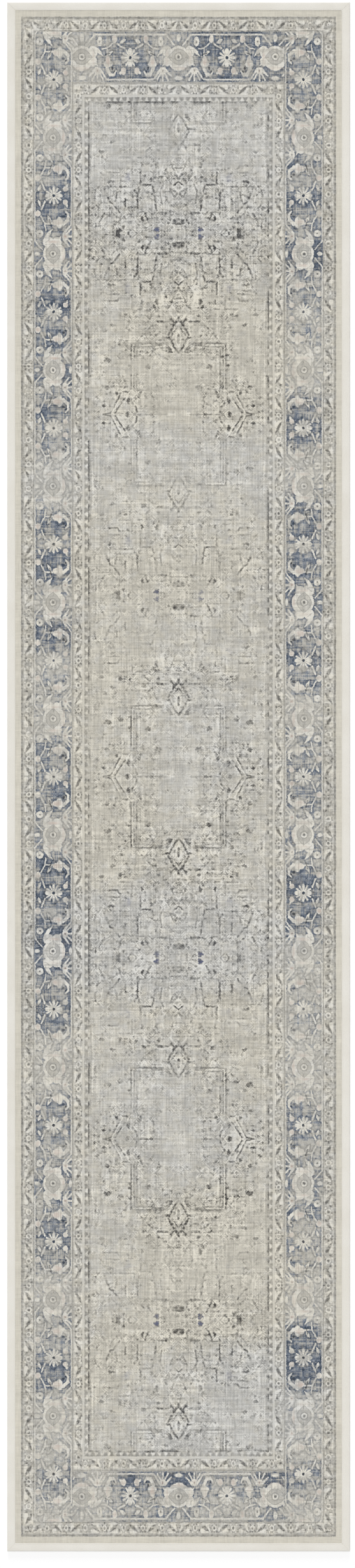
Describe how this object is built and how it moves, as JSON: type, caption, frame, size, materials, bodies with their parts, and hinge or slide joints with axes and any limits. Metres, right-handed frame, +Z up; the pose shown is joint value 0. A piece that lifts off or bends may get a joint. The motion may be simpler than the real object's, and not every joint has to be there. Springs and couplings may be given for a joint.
{
  "type": "runner rug",
  "caption": "Long narrow runner rug: a flat-woven face printed with a faded bordered pattern, on a felt core and grip backing, with a plain cream tape hem all round.",
  "frame": {"origin": "middle of the rug, on the floor it lies on", "axes": "+Y along the rug towards the far end, +X across it to the right, +Z up through the printed face"},
  "size_m": [0.81, 3.66, 0.005],
  "materials": {
    "printed_cloth": "matte",
    "felt": "matte",
    "grip_rubber": "matte",
    "binding_tape": "matte",
    "thread": "satin",
    "label_satin": "satin"
  },
  "bodies": {
    "root": {"face_cloth": "printed_cloth", "felt_core": "felt", "grip_backing": "grip_rubber", "left_binding": "binding_tape", "right_binding": "binding_tape", "far_end_binding": "binding_tape", "near_end_binding": "binding_tape", "left_needle_thread": "thread", "right_needle_thread": "thread", "far_end_needle_thread": "thread", "near_end_needle_thread": "thread", "left_bobbin_thread": "thread", "right_bobbin_thread": "thread", "far_end_bobbin_thread": "thread", "near_end_bobbin_thread": "thread", "mitre_stitches": "thread", "care_label": "label_satin"}
  },
  "joints": []
}
